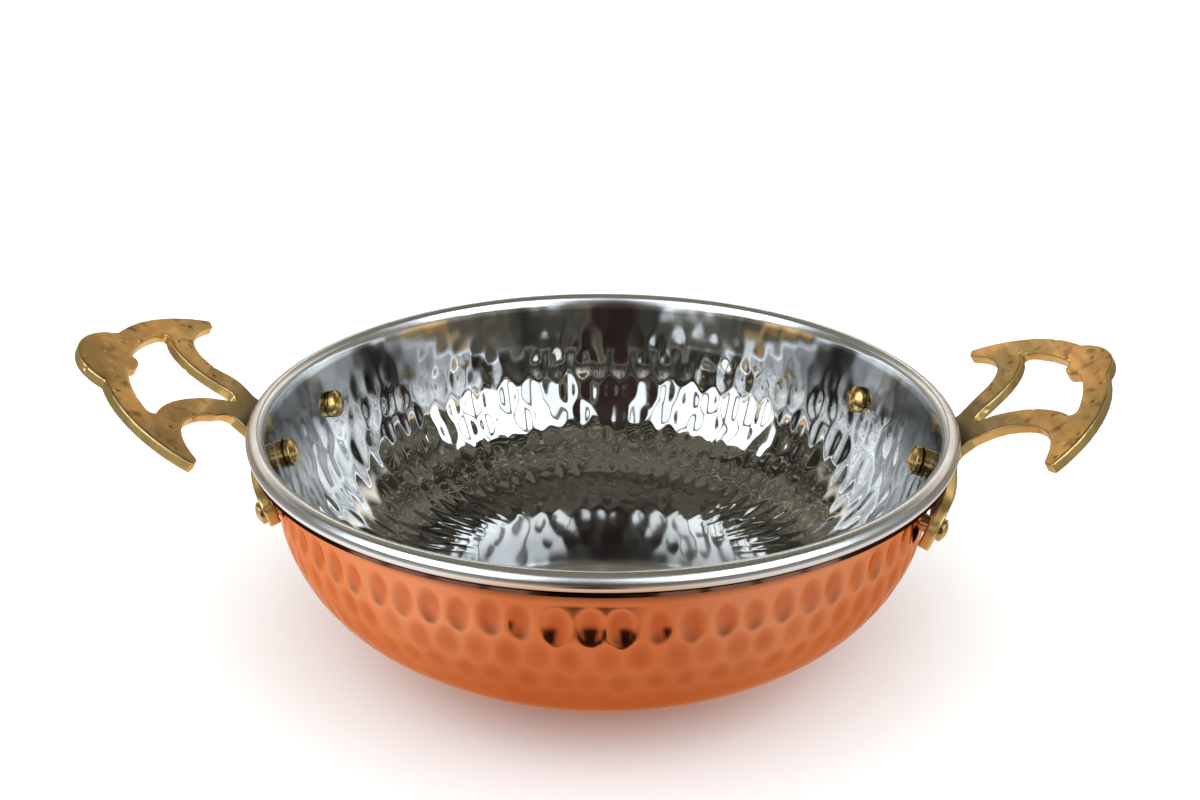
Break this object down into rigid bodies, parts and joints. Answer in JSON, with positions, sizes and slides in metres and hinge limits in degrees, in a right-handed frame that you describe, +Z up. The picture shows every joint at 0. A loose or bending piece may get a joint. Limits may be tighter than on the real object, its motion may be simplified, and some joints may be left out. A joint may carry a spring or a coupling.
{
  "type": "serving handi",
  "caption": "small copper handi: hammered copper shell over a steel bowl with a rolled rim and riveted cast brass handles",
  "frame": {"origin": "middle of the flat base that it stands on", "axes": "+Z up; +X toward the right handle as seen in the picture; -Y toward the viewer"},
  "size_m": [0.2439, 0.1706, 0.0749],
  "materials": {
    "copper": "polished, hammered",
    "steel": "polished, hammered inside, satin rim",
    "brass": "cast, hand filed"
  },
  "bodies": {
    "root": {"steel_bowl": "steel", "copper_shell": "copper", "right_handle": "brass", "right_front_rivet": "brass", "right_middle_rivet": "brass", "right_back_rivet": "brass", "left_handle": "brass", "left_front_rivet": "brass", "left_middle_rivet": "brass", "left_back_rivet": "brass"}
  },
  "joints": []
}
